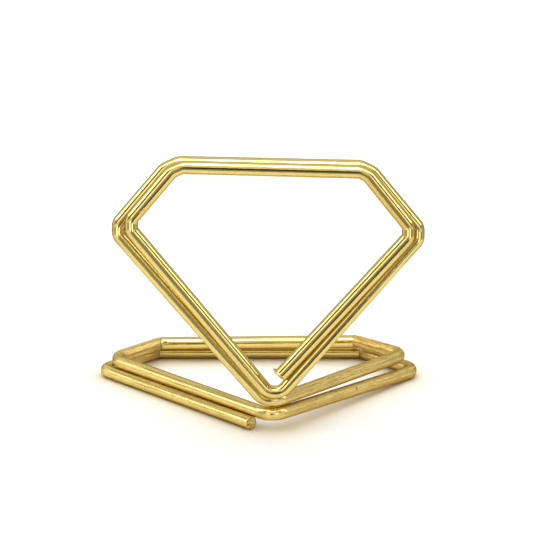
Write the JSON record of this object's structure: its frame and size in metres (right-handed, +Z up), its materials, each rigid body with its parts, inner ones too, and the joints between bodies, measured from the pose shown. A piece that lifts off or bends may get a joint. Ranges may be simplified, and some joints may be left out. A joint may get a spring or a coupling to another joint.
{
  "type": "memo holder",
  "caption": "Desk memo holder bent from round brass wire: gem-shaped upright turns pinch a memo, and matching turns lie flat behind them as the base.",
  "frame": {"origin": "centre of the bounding box at the height of the desk top, where the lower base turn rests", "axes": "+X to the right as the clip is read, along the base's width; +Y from the clip back over the base; +Z up"},
  "size_m": [0.049, 0.0398, 0.0417],
  "materials": {
    "brass_wire": "polished, unlacquered, with fine drawing lines along the wire"
  },
  "bodies": {
    "lower_base": {"base_lower_turn": "brass_wire"},
    "upper_base": {"base_upper_turn": "brass_wire"},
    "rear_clip": {"clip_rear_turn": "brass_wire"},
    "front_clip": {"clip_front_turn": "brass_wire"}
  },
  "joints": [
    {"name": "base_spread", "type": "hinge", "parent": "lower_base", "child": "upper_base", "pos_m": [0.00199, -0.01628, 0.00267], "axis": [1, 0, 0], "range_deg": [0, 5], "stiffness_Nm_per_rad": 1.5},
    {"name": "clip_nod", "type": "hinge", "parent": "upper_base", "child": "rear_clip", "pos_m": [0.00179, -0.01628, 0.00477], "axis": [1, 0, 0], "range_deg": [-5, 5], "stiffness_Nm_per_rad": 1.5},
    {"name": "clip_open", "type": "hinge", "parent": "rear_clip", "child": "front_clip", "pos_m": [0.00244, -0.01782, 0.00648], "axis": [1, 0, 0], "range_deg": [0, 6], "stiffness_Nm_per_rad": 1.5}
  ]
}
